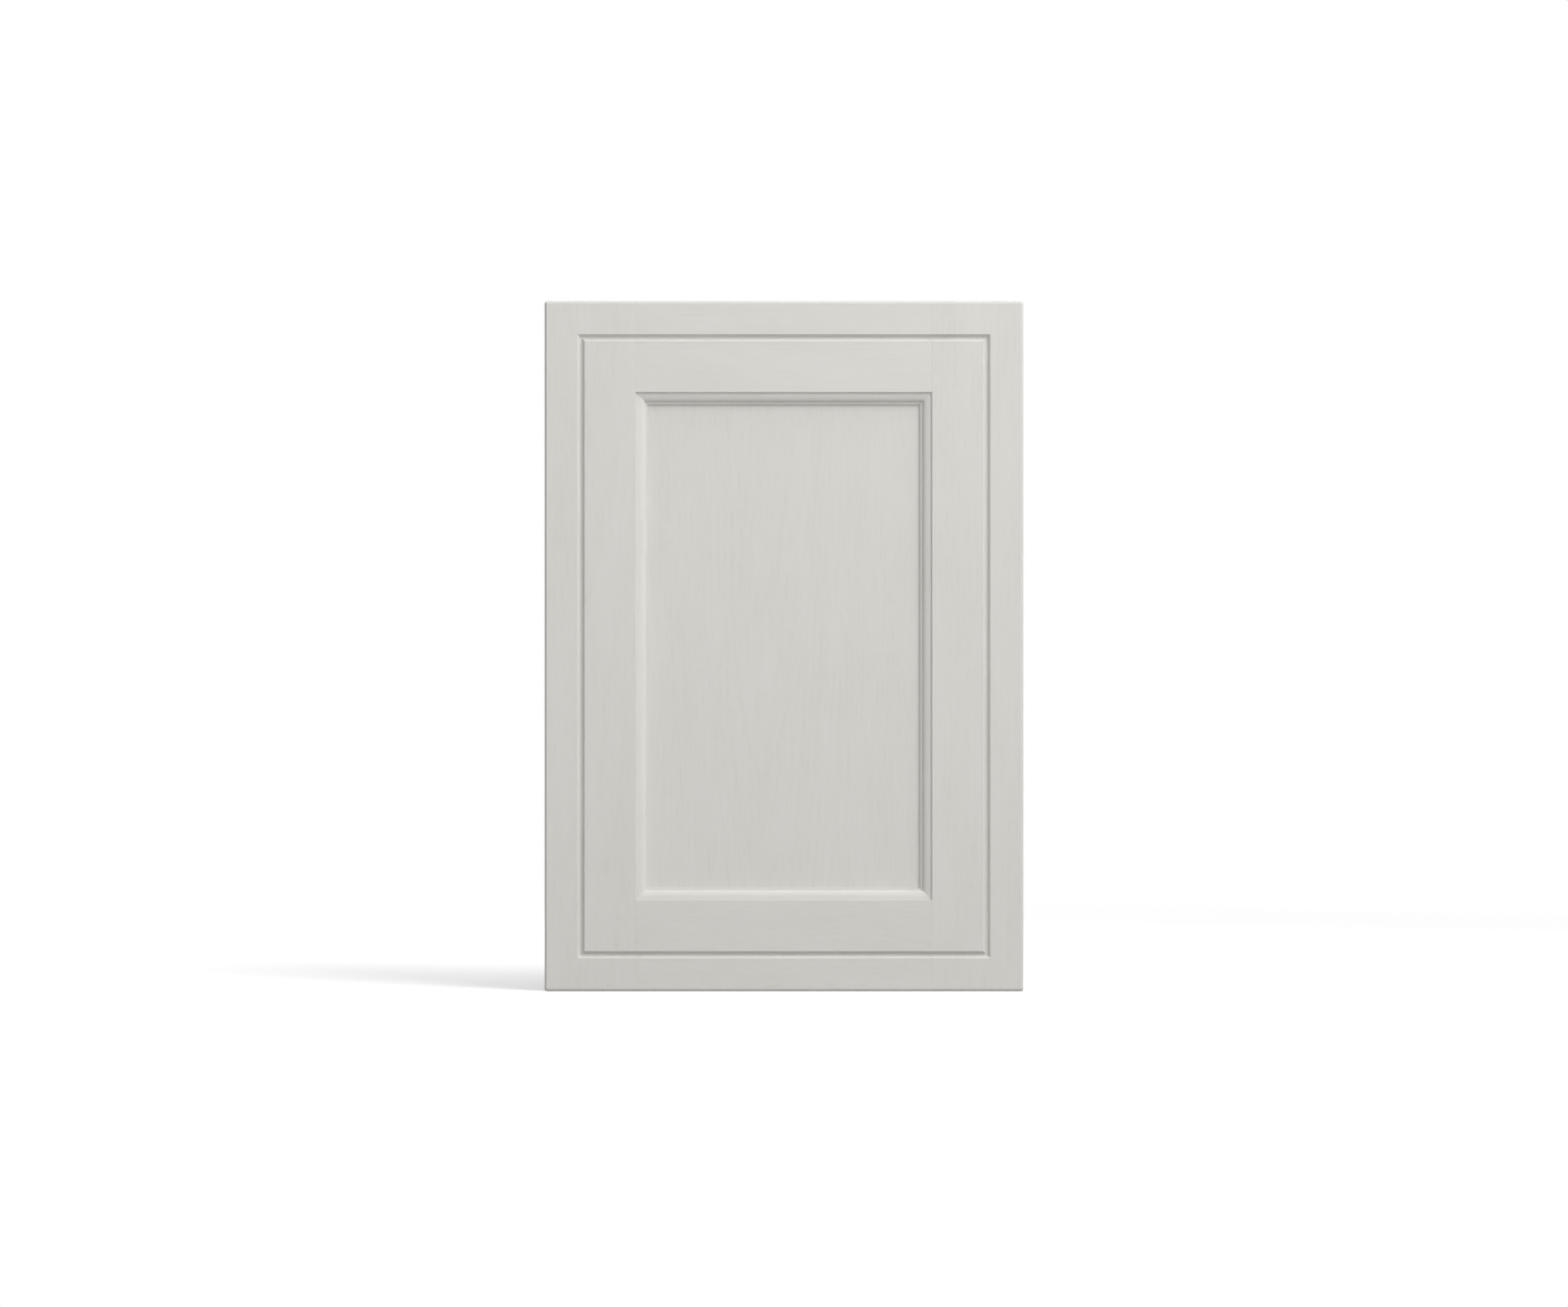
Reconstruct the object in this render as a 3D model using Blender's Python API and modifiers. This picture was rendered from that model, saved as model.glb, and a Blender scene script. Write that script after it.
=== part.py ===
"""A painted timber kitchen cabinet door with an in-frame effect, in metres, +Z up.

Two full-height stiles, two rails and a flat panel. The stiles and rails carry a moulding on their inner edge,
a long curve that turns into a small cove, and behind it the groove that holds the panel. Each rail's end is
scribed over the stile's moulding, with a tongue in the stile's panel groove and two dowels through it. Once the
frame is glued, its outer front edges are chamfered and its back edges rounded, and a V groove with mitred
corners is cut round its face.

The front faces -Y. The origin is the middle of the door's thickness and width, at its bottom edge.
"""

import math

import bmesh
import bpy
from mathutils import Matrix, Vector

# The door
DOOR_WIDTH = 0.496
DOOR_HEIGHT = 0.715
DOOR_THICKNESS = 0.022
CORNER_RADIUS = 0.003  # of the four corners, seen from the front
FRONT_CHAMFER = 0.002
BACK_EDGE_RADIUS = 0.0012

# The moulding on the inner edge of the stiles and rails, from the face inwards
FACE_WIDTH = 0.094  # the flat face, from the door's edge to the moulding
QUIRK_DEPTH = 0.0022  # the small step down from the face to the curve
CURVE_WIDTH = 0.0114  # of the long convex curve and the cove together
CURVE_DEPTH = 0.0045
COVE_RADIUS = 0.0012
FILLET_WIDTH = 0.0008  # the narrow flat between the cove and the opening
SIGHT_STEP = 0.0025  # from the fillet down to the panel
BACK_ARRIS_RADIUS = 0.001  # of the opening's edge at the back

# The panel and the groove that holds it
PANEL_THICKNESS = 0.009
PANEL_HOLD = 0.010  # how far the panel goes into its groove
PANEL_PLAY = 0.002  # room left for the panel to move at the bottom of the groove
PANEL_EDGE_RADIUS = 0.0006

# The V groove round the frame's face
V_INSET = 0.038  # from the door's edge to the groove's centre line
V_WALL_SLOPE = 50  # degrees from the face
V_NOSE_RADIUS = 0.0015  # of the round at the bottom of the groove
V_WALL_RUN = 0.0024  # width of each straight wall, seen from the front
V_LIP_RADIUS = 0.001

# The dowels in the corner joints
DOWEL_DIAMETER = 0.006
DOWEL_LENGTH = 0.040
DOWEL_IN_STILE = 0.014  # length past the bottom of the stile's panel groove
DOWEL_EDGE_DISTANCE = 0.030  # from the door's top or bottom edge to the nearer dowel
DOWEL_SPACING = 0.040
DOWEL_CHAMFER = 0.0007
DOWEL_FLUTES = 12
DOWEL_FLUTE_DEPTH = 0.0003
DOWEL_END_PLAY = 0.001  # glue room past each end of a dowel

# The bores for the cups of two concealed hinges, in the back of the left stile
HINGE_BORE_DIAMETER = 0.035
HINGE_BORE_DEPTH = 0.0125
HINGE_BORE_INSET = 0.0225  # from the door's edge to the bore's centre
HINGE_END_DISTANCE = 0.100  # from the door's top or bottom edge to the bore's centre

# Clearance between pieces that touch, and how far a cutter or a blank runs past the finished shape
SEAT_GAP = 0.0003
OVERRUN = 0.003

# How finely round shapes are cut
ROUND_STEPS = 5
CURVE_STEPS = 6
COVE_STEPS = 4
BORE_SIDES = 64
DRILL_SIDES = 24
WELD = 1e-6
CREASE = 15  # degrees by which a routed round stops short of flush with the face
PAST_FACE = 5  # of those degrees, how far its cutter's arc goes on above the face
MOST_EDGE_SHARE = 0.95  # of the corners' radius, the most that an edge's chamfer or round can be
SMOOTH_BELOW = 30  # degrees between faces that are shaded as one round surface

# Places that follow from the sizes. Across a member, u runs inwards from the door's edge and d back from its face
FILLET_DEPTH = QUIRK_DEPTH + CURVE_DEPTH
PANEL_SETBACK = FILLET_DEPTH + SIGHT_STEP
CURVE_TURN = 2 * math.atan2(CURVE_DEPTH, CURVE_WIDTH)  # how far the long curve turns before the cove turns back
CURVE_RADIUS = CURVE_WIDTH / math.sin(CURVE_TURN) - COVE_RADIUS
SIGHT_LINE = FACE_WIDTH + CURVE_WIDTH + FILLET_WIDTH
GROOVE_BOTTOM = SIGHT_LINE - PANEL_HOLD - PANEL_PLAY
JOINT_DEPTH = PANEL_SETBACK + PANEL_THICKNESS / 2
FRONT_Y = -DOOR_THICKNESS / 2

PAINT = (0.62, 0.61, 0.575, 1.0)
PAINT_ROUGHNESS = 0.45
BEECH = (0.62, 0.42, 0.24, 1.0)
BEECH_ROUGHNESS = 0.7


def clear_scene():
    for thing in list(bpy.data.objects):
        bpy.data.objects.remove(thing, do_unlink=True)


def new_collection(name):
    made = bpy.data.collections.new(name)
    bpy.context.scene.collection.children.link(made)
    return made


def finish_material(name, colour, roughness):
    material = bpy.data.materials.new(name)
    material.use_nodes = True
    shader = material.node_tree.nodes["Principled BSDF"]
    shader.inputs["Base Color"].default_value = colour
    shader.inputs["Roughness"].default_value = roughness
    shader.inputs["Metallic"].default_value = 0.0
    return material


def arc(centre, radii, start_degrees, end_degrees, steps):
    """Points along an arc of an ellipse, both ends included."""
    points = []
    for step in range(steps + 1):
        angle = math.radians(start_degrees + (end_degrees - start_degrees) * step / steps)
        points.append((centre[0] + radii[0] * math.cos(angle), centre[1] + radii[1] * math.sin(angle)))
    return points


def poly_curve(name, points):
    """A closed flat curve through the points."""
    curve = bpy.data.curves.new(name, "CURVE")
    curve.dimensions = "2D"
    spline = curve.splines.new("POLY")
    spline.points.add(len(points) - 1)
    for place, point in zip(spline.points, points):
        place.co = (point[0], point[1], 0.0, 1.0)
    spline.use_cyclic_u = True
    return curve


def mesh_object(name, curve_object, collection):
    """A mesh object in the curve's place, welded where the curve's sides and caps meet. The curve is removed."""
    collection.objects.link(curve_object)
    bpy.context.view_layer.update()
    graph = bpy.context.evaluated_depsgraph_get()
    mesh = bpy.data.meshes.new_from_object(curve_object.evaluated_get(graph))
    mesh.name = name
    shape = bmesh.new()
    shape.from_mesh(mesh)
    bmesh.ops.remove_doubles(shape, verts=shape.verts, dist=WELD)
    bmesh.ops.recalc_face_normals(shape, faces=shape.faces)
    shape.to_mesh(mesh)
    shape.free()
    made = bpy.data.objects.new(name, mesh)
    made.matrix_world = curve_object.matrix_world.copy()
    collection.objects.link(made)
    curve = curve_object.data
    bpy.data.objects.remove(curve_object, do_unlink=True)
    bpy.data.curves.remove(curve)
    return made


def extruded(name, outline, length, collection):
    """The outline carried along local Z, half the length each way."""
    curve = poly_curve(name, outline)
    curve.fill_mode = "BOTH"
    curve.extrude = length / 2
    return mesh_object(name, bpy.data.objects.new(name + "_outline", curve), collection)


def as_cutter(cutter):
    cutter.hide_render = True
    cutter.display_type = "WIRE"
    return cutter


def boolean(piece, operation, cutter):
    """Cuts the piece with one object, or with every object of a collection."""
    modifier = piece.modifiers.new(cutter.name, "BOOLEAN")
    modifier.operation = operation
    modifier.solver = "EXACT"
    if isinstance(cutter, bpy.types.Collection):
        modifier.operand_type = "COLLECTION"
        modifier.collection = cutter
    else:
        modifier.object = cutter


def member_section(grow):
    """The section across a stile or rail: u inwards from the door's edge, d back from its face.

    It runs past the face, the back and the outer edge, which are cut to size afterwards. With grow above 0
    every surface of the moulding and the groove stands out by that much, which is the shape that a rail's end
    is scribed to.
    """
    turn = math.degrees(CURVE_TURN)
    curve_centre = (FACE_WIDTH, QUIRK_DEPTH + CURVE_RADIUS)
    cove_centre = (FACE_WIDTH + CURVE_WIDTH, FILLET_DEPTH - COVE_RADIUS)
    curve = arc(curve_centre, (CURVE_RADIUS + grow, CURVE_RADIUS + grow), -90, turn - 90, CURVE_STEPS)
    cove = arc(cove_centre, (COVE_RADIUS - grow, COVE_RADIUS - grow), 90 + turn, 90, COVE_STEPS)
    groove_front = PANEL_SETBACK - SEAT_GAP + grow
    groove_back = PANEL_SETBACK + PANEL_THICKNESS + SEAT_GAP - grow
    return [
        (-OVERRUN, -OVERRUN),
        (FACE_WIDTH + grow, -OVERRUN),
        (FACE_WIDTH + grow, curve[0][1]),
        *curve[1:],
        *cove[1:],
        (SIGHT_LINE + grow, FILLET_DEPTH - grow),
        (SIGHT_LINE + grow, groove_front),
        (GROOVE_BOTTOM + grow, groove_front),
        (GROOVE_BOTTOM + grow, groove_back),
        (SIGHT_LINE + grow, groove_back),
        (SIGHT_LINE + grow, DOOR_THICKNESS + OVERRUN),
        (-OVERRUN, DOOR_THICKNESS + OVERRUN),
    ]


# How far round +Y each side of the door is turned from the left side, and the middle of its outer front edge
SIDES = {
    "left": (0, (-DOOR_WIDTH / 2, FRONT_Y, DOOR_HEIGHT / 2)),
    "top": (90, (0, FRONT_Y, DOOR_HEIGHT)),
    "right": (180, (DOOR_WIDTH / 2, FRONT_Y, DOOR_HEIGHT / 2)),
    "bottom": (270, (0, FRONT_Y, 0)),
}


def put_on_side(member, side):
    turn, middle = SIDES[side]
    member.rotation_euler = (0, math.radians(turn), 0)
    member.location = middle


def rounded_door(collection):
    """The outer shape of the glued frame: corners rounded first, then the front chamfer and the back's round."""
    shape = bmesh.new()
    middle = Matrix.Translation((0, 0, DOOR_HEIGHT / 2))
    size = Matrix.Diagonal((DOOR_WIDTH, DOOR_THICKNESS, DOOR_HEIGHT, 1))
    bmesh.ops.create_cube(shape, size=1, matrix=middle @ size)

    def edges_where(wanted):
        return [edge for edge in shape.edges if wanted(*(vert.co for vert in edge.verts))]

    def bevel(edges, width, steps):
        bmesh.ops.bevel(shape, geom=edges, offset=width, segments=steps, profile=0.5, affect="EDGES")

    bevel(edges_where(lambda a, b: abs(a.y - b.y) > DOOR_THICKNESS / 2), CORNER_RADIUS, ROUND_STEPS)
    for plane, width, steps in ((FRONT_Y, FRONT_CHAMFER, 1), (-FRONT_Y, BACK_EDGE_RADIUS, ROUND_STEPS)):
        rim = edges_where(lambda a, b: abs(a.y - plane) < WELD and abs(b.y - plane) < WELD)
        bevel(rim, min(width, CORNER_RADIUS * MOST_EDGE_SHARE), steps)
    mesh = bpy.data.meshes.new("rounded_door")
    shape.to_mesh(mesh)
    shape.free()
    made = bpy.data.objects.new("rounded_door", mesh)
    collection.objects.link(made)
    return as_cutter(made)


def ring(name, section, inset, plane_y, collection):
    """The section carried round the door at an inset from its edges, with mitred corners.

    The section's first coordinate runs outwards across the door's face, and its second towards the front.
    """
    half_width = DOOR_WIDTH / 2 - inset
    half_height = DOOR_HEIGHT / 2 - inset
    turned_in = [(-x, y) for x, y in section]
    profile = bpy.data.objects.new(name + "_profile", poly_curve(name + "_profile", turned_in))
    collection.objects.link(profile)
    corners = [
        (-half_width, -half_height), (half_width, -half_height),
        (half_width, half_height), (-half_width, half_height),
    ]
    path = poly_curve(name, corners)
    path.fill_mode = "NONE"
    path.bevel_mode = "OBJECT"
    path.bevel_object = profile
    guide = bpy.data.objects.new(name + "_path", path)
    guide.rotation_euler = (math.radians(90), 0, 0)
    guide.location = (0, plane_y, DOOR_HEIGHT / 2)
    made = mesh_object(name, guide, collection)
    profile_curve = profile.data
    bpy.data.objects.remove(profile, do_unlink=True)
    bpy.data.curves.remove(profile_curve)
    return as_cutter(made)


def v_groove_section():
    """A V with a round nose and rounded lips, open above the face and symmetric about its centre."""
    slope = math.radians(V_WALL_SLOPE)
    crisp = math.cos(math.radians(CREASE))
    lip_drop = V_LIP_RADIUS * (crisp - math.cos(slope))
    nose_centre = (0, V_NOSE_RADIUS * math.cos(slope) - V_WALL_RUN * math.tan(slope) - lip_drop)
    lip_centre = ((V_NOSE_RADIUS + V_LIP_RADIUS) * math.sin(slope) + V_WALL_RUN, -V_LIP_RADIUS * crisp)
    nose = arc(nose_centre, (V_NOSE_RADIUS, V_NOSE_RADIUS), -90, V_WALL_SLOPE - 90, ROUND_STEPS)
    lip = arc(
        lip_centre, (V_LIP_RADIUS, V_LIP_RADIUS), 90 + V_WALL_SLOPE, 90 + CREASE - PAST_FACE, ROUND_STEPS
    )
    right = nose[1:] + lip + [(lip[-1][0], OVERRUN)]
    return [nose[0]] + right + [(-x, y) for x, y in reversed(right)]


def arris_section(radius):
    """What is taken off a square edge at the origin to round it, where the wood fills x and y above 0."""
    crisp = radius * math.cos(math.radians(CREASE))
    end = CREASE - PAST_FACE
    curve = arc((crisp, crisp), (radius, radius), -90 - end, -180 + end, ROUND_STEPS)
    return [(-OVERRUN, -OVERRUN), (curve[0][0], -OVERRUN), *curve, (-OVERRUN, curve[-1][1])]


def cylinder(name, diameter, length, sides, along, centre, collection):
    """A round bar of this length, with its middle at the centre and its axis along the direction given."""
    shape = bmesh.new()
    bmesh.ops.create_cone(
        shape, cap_ends=True, segments=sides, radius1=diameter / 2, radius2=diameter / 2, depth=length
    )
    mesh = bpy.data.meshes.new(name)
    shape.to_mesh(mesh)
    shape.free()
    made = bpy.data.objects.new(name, mesh)
    made.rotation_euler = Vector((0, 0, 1)).rotation_difference(Vector(along)).to_euler()
    made.location = centre
    collection.objects.link(made)
    return made


def hinge_bores(collection):
    """Cutters for the two cup bores, open at the back of the left stile."""
    for name, z in (("lower", HINGE_END_DISTANCE), ("upper", DOOR_HEIGHT - HINGE_END_DISTANCE)):
        centre = (
            -DOOR_WIDTH / 2 + HINGE_BORE_INSET,
            -FRONT_Y - (HINGE_BORE_DEPTH - OVERRUN) / 2,
            z,
        )
        length = HINGE_BORE_DEPTH + OVERRUN
        bore = cylinder(name + "_bore", HINGE_BORE_DIAMETER, length, BORE_SIDES, (0, 1, 0), centre, collection)
        as_cutter(bore)


def dowel_places():
    """The name and the centre of each dowel."""
    across = DOOR_WIDTH / 2 - (GROOVE_BOTTOM - DOWEL_IN_STILE + DOWEL_LENGTH / 2)
    places = []
    for side, x in (("left", -across), ("right", across)):
        for number in (1, 2):
            up = DOWEL_EDGE_DISTANCE + (number - 1) * DOWEL_SPACING
            for end, z in (("bottom", up), ("top", DOOR_HEIGHT - up)):
                places.append((f"{end}_{side}_dowel_{number}", (x, FRONT_Y + JOINT_DEPTH, z)))
    return places


def dowel(name, centre, collection):
    """A fluted dowel: every second corner of a many-sided bar stands back, and the ends are chamfered."""
    made = cylinder(name, DOWEL_DIAMETER, DOWEL_LENGTH, DOWEL_FLUTES * 2, (1, 0, 0), centre, collection)
    shape = bmesh.new()
    shape.from_mesh(made.data)
    flute_share = 1 - DOWEL_FLUTE_DEPTH / (DOWEL_DIAMETER / 2)
    for vert in shape.verts:
        place = round(math.atan2(vert.co.y, vert.co.x) / math.pi * DOWEL_FLUTES)
        if place % 2:
            vert.co.x *= flute_share
            vert.co.y *= flute_share
    rims = [edge for edge in shape.edges if abs(edge.verts[0].co.z - edge.verts[1].co.z) < WELD]
    bmesh.ops.bevel(shape, geom=rims, offset=DOWEL_CHAMFER, segments=1, profile=0.5, affect="EDGES")
    shape.to_mesh(made.data)
    shape.free()
    return made


def dowel_drills(collection):
    """Cutters for the dowels' holes, each a clearance wider and longer than its dowel."""
    for name, centre in dowel_places():
        diameter = DOWEL_DIAMETER + 2 * SEAT_GAP
        length = DOWEL_LENGTH + 2 * DOWEL_END_PLAY
        as_cutter(cylinder(name + "_hole", diameter, length, DRILL_SIDES, (1, 0, 0), centre, collection))


def panel(collection):
    """The flat panel, with its edge in the groove all round."""
    size = (
        DOOR_WIDTH - 2 * (SIGHT_LINE - PANEL_HOLD),
        PANEL_THICKNESS,
        DOOR_HEIGHT - 2 * (SIGHT_LINE - PANEL_HOLD),
    )
    shape = bmesh.new()
    bmesh.ops.create_cube(shape, size=1, matrix=Matrix.Diagonal((*size, 1)))
    mesh = bpy.data.meshes.new("centre_panel")
    shape.to_mesh(mesh)
    shape.free()
    made = bpy.data.objects.new("centre_panel", mesh)
    made.location = (0, FRONT_Y + JOINT_DEPTH, DOOR_HEIGHT / 2)
    collection.objects.link(made)
    bevel = made.modifiers.new("eased_edges", "BEVEL")
    bevel.width = PANEL_EDGE_RADIUS
    bevel.segments = 2
    return made


def frame_member(name, side, length, cutters, parts):
    member = extruded(name, member_section(0), length, parts)
    put_on_side(member, side)
    boolean(member, "INTERSECT", cutters["outside"])
    return member


def smooth_round_faces(piece):
    piece.data.shade_smooth()
    piece.data.set_sharp_from_angle(angle=math.radians(SMOOTH_BELOW))


def build():
    clear_scene()
    parts = new_collection("kitchen_cabinet_door")
    tools = new_collection("cutters")
    drills = new_collection("dowel_hole_cutters")
    bores = new_collection("hinge_bore_cutters")

    cutters = {
        "outside": rounded_door(tools),
        "v_groove": ring("v_groove", v_groove_section(), V_INSET, FRONT_Y, tools),
        "back_arris": ring("back_arris", arris_section(BACK_ARRIS_RADIUS), SIGHT_LINE, -FRONT_Y, tools),
    }
    dowel_drills(drills)
    hinge_bores(bores)

    # A rail starts with its ends inside the stiles, and is cut by their whole section, grown by the clearance
    scribes = []
    for side in ("left", "right"):
        scribe = extruded(side + "_scribe", member_section(SEAT_GAP), DOOR_HEIGHT + 4 * OVERRUN, tools)
        put_on_side(scribe, side)
        scribes.append(as_cutter(scribe))

    pieces = []
    for side in ("left", "right"):
        stile = frame_member(side + "_stile", side, DOOR_HEIGHT + 2 * OVERRUN, cutters, parts)
        pieces.append(stile)
        if side == "left":
            boolean(stile, "DIFFERENCE", bores)
    for side in ("top", "bottom"):
        rail = frame_member(side + "_rail", side, DOOR_WIDTH - FACE_WIDTH, cutters, parts)
        pieces.append(rail)
        for scribe in scribes:
            boolean(rail, "DIFFERENCE", scribe)
    for member in pieces:
        boolean(member, "DIFFERENCE", cutters["v_groove"])
        boolean(member, "DIFFERENCE", cutters["back_arris"])
        boolean(member, "DIFFERENCE", drills)

    pieces.append(panel(parts))
    for piece in pieces:
        piece.data.materials.append(finish_material(piece.name + "_paint", PAINT, PAINT_ROUGHNESS))
        smooth_round_faces(piece)
    for name, centre in dowel_places():
        pin = dowel(name, centre, parts)
        pin.data.materials.append(finish_material(name + "_beech", BEECH, BEECH_ROUGHNESS))
        pieces.append(pin)

    door = bpy.data.objects.new("cabinet_door", None)
    parts.objects.link(door)
    for piece in pieces:
        piece.parent = door


build()
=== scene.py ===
"""A painted timber kitchen cabinet door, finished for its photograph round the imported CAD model.

Two stiles, two rails and a flat panel, with dowels inside the corner joints. The front faces -Y, Z is up and
the sizes are in metres. Each section below makes one kind of piece, in the order in which the door is made.
"""

import math

import bmesh
import bpy
import numpy as np
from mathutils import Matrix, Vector


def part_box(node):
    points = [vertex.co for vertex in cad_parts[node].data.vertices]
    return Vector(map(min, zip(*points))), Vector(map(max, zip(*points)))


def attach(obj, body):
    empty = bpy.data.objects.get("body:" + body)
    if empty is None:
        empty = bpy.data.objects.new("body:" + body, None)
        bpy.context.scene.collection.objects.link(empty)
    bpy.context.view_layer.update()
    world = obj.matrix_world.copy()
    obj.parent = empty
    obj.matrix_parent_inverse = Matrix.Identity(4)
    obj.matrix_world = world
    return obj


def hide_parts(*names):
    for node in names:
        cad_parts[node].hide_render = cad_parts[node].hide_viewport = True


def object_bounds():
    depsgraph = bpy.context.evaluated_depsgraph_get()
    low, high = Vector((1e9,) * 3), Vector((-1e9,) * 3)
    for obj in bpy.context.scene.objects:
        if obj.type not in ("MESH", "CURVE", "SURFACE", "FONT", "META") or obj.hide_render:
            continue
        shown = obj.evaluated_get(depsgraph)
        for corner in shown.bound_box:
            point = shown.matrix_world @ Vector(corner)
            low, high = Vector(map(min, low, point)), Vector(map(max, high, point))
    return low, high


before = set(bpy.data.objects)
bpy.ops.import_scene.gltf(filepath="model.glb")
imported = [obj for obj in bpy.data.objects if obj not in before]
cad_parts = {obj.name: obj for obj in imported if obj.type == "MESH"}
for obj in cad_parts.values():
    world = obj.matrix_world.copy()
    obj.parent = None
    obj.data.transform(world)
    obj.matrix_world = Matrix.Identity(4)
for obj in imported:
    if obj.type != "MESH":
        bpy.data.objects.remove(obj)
cad_low, cad_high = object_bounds()


# The two stiles: the upright members, full height, of open-grained timber painted pale grey. The inner edge
# is an ovolo with a small cove at its foot, and is grooved for the panel. The glued frame is chamfered in
# front and a V groove is cut round its face. Bores in the back of the left stile take the hinge cups.

DOOR_WIDTH, DOOR_THICKNESS, DOOR_HEIGHT = cad_high - cad_low
CORNER_RADIUS = 0.003
FRONT_CHAMFER = 0.0021
CHAMFER_SLOPE = math.radians(40)
CHAMFER_EASE = 0.0004
BACK_EDGE_RADIUS = 0.0012

GROOVE_INSET = 0.038  # from the door's edge to the V groove's centre line
GROOVE_SLOPE = math.radians(54)
GROOVE_NOSE_RADIUS = 0.0015
GROOVE_WALL_RUN = 0.00205
GROOVE_LIP_RADIUS = 0.0007

FACE_WIDTH = 0.0945
QUIRK_DEPTH = 0.002
QUIRK_DRAFT = 0.00003  # how far the quirk's wall leans from upright
OVOLO_WIDTH = 0.0097
OVOLO_DEPTH = 0.0042
COVE_RADIUS = 0.0005
FILLET_DEPTH = 0.0067
SIGHT_LINE = 0.1066  # from the door's edge to the opening in which the panel shows
EASED_EDGE = 0.00015
SIGHT_EDGE = 0.00025
BACK_ARRIS_RADIUS = 0.001
PANEL_GROOVE_BOTTOM = 0.0947
PANEL_GROOVE_FRONT = 0.00917  # this and the next leave the panel a hair of room
PANEL_GROOVE_BACK = 0.01823
GUARD = 0.0003  # how far past the end of a round the next line of points lies, so that flats shade flat

ease_end = FRONT_CHAMFER + CHAMFER_EASE * math.tan(CHAMFER_SLOPE / 2)
nose_end = GROOVE_NOSE_RADIUS * math.sin(GROOVE_SLOPE)
wall_end = nose_end + GROOVE_WALL_RUN
lip_end = wall_end + GROOVE_LIP_RADIUS * math.sin(GROOVE_SLOPE)
lip_drop = GROOVE_LIP_RADIUS * (1 - math.cos(GROOVE_SLOPE))
nose_drop = GROOVE_NOSE_RADIUS * (1 - math.cos(GROOVE_SLOPE))
groove_depth = lip_drop + GROOVE_WALL_RUN * math.tan(GROOVE_SLOPE) + nose_drop


def degrees(start, end, count):
    """Angles in radians, evenly spaced from start to end in degrees."""
    return np.radians(np.linspace(start, end, count))


def rounded_edge(inwards, radius):
    """Depth lost to a rounded edge: a circle's radius less its height, at that distance in from the edge."""
    reach = np.clip(radius - inwards, 0, radius)
    return radius - np.sqrt(radius ** 2 - reach ** 2)


def chamfered_edge(inwards):
    """Depth lost to the chamfer: its slope times what is left of its width, and a circle where it ends."""
    chamfer = (FRONT_CHAMFER - inwards) * math.tan(CHAMFER_SLOPE)
    ease = rounded_edge(CHAMFER_EASE - ease_end + inwards, CHAMFER_EASE)
    return np.where(inwards < ease_end - CHAMFER_EASE * math.sin(CHAMFER_SLOPE), chamfer, ease)


def v_groove(inwards):
    """Depth of the V groove at a distance in from the door's edge.

    From its centre line outwards: a circle at the nose, a straight sloping wall, and a smaller circle that
    bends back up to the face.
    """
    across = np.abs(inwards - GROOVE_INSET)
    nose = groove_depth - rounded_edge(GROOVE_NOSE_RADIUS - across, GROOVE_NOSE_RADIUS)
    wall = lip_drop + (wall_end - across) * math.tan(GROOVE_SLOPE)
    lip = rounded_edge(GROOVE_LIP_RADIUS - lip_end + across, GROOVE_LIP_RADIUS)
    return np.select([across < nose_end, across < wall_end, across < lip_end], [nose, wall, lip], 0.0)


# The moulding as points along its outline: inwards from the door's edge, and back from the face. Past the
# quirk a quarter of an ellipse turns down to a small cove at the fillet.
ease = degrees(0, 90, 4)
turn_at_panel_groove = math.asin((PANEL_GROOVE_BOTTOM - FACE_WIDTH) / OVOLO_WIDTH)
ovolo = np.append(turn_at_panel_groove, degrees(8, 90, 15))
cove = degrees(90, 0, 6)[1:]
fillet_start = FACE_WIDTH + OVOLO_WIDTH + COVE_RADIUS
quirk_across = np.append(FACE_WIDTH - EASED_EDGE * (1 - np.sin(ease)), FACE_WIDTH + QUIRK_DRAFT)
quirk_back = np.append(EASED_EDGE * (1 - np.cos(ease)), QUIRK_DEPTH)
worked_across = np.concatenate([
    quirk_across,
    FACE_WIDTH + OVOLO_WIDTH * np.sin(ovolo),
    fillet_start - COVE_RADIUS * np.sin(cove),
])
worked_back = np.concatenate([
    quirk_back,
    QUIRK_DEPTH + OVOLO_DEPTH * (1 - np.cos(ovolo)),
    FILLET_DEPTH - COVE_RADIUS * (1 - np.cos(cove)),
])
moulding_across = np.append(worked_across, SIGHT_LINE - SIGHT_EDGE * (1 - np.sin(ease)))
moulding_back = np.append(worked_back, FILLET_DEPTH + SIGHT_EDGE * (1 - np.cos(ease)))

# Where lines of points run along a member, measured in from the door's edge
edge_lines = np.concatenate([
    BACK_EDGE_RADIUS * (1 - np.cos(degrees(0, 90, 7))),
    ease_end - CHAMFER_EASE * np.sin(np.linspace(CHAMFER_SLOPE, 0, 4)),
    [ease_end + GUARD, CORNER_RADIUS, CORNER_RADIUS + GUARD],
])
slope_turns = np.linspace(0, GROOVE_SLOPE, 6)
half_groove = np.concatenate([
    GROOVE_NOSE_RADIUS * np.sin(slope_turns),
    lip_end - GROOVE_LIP_RADIUS * np.sin(slope_turns),
    [lip_end + GUARD],
])
groove_lines = np.concatenate([GROOVE_INSET - half_groove, GROOVE_INSET + half_groove])
back_arris_lines = SIGHT_LINE - np.append(
    BACK_ARRIS_RADIUS * (1 - np.sin(degrees(0, 90, 5))), BACK_ARRIS_RADIUS + GUARD
)
eased_guard_lines = [FACE_WIDTH - EASED_EDGE - GUARD, SIGHT_LINE - SIGHT_EDGE - GUARD]

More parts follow.
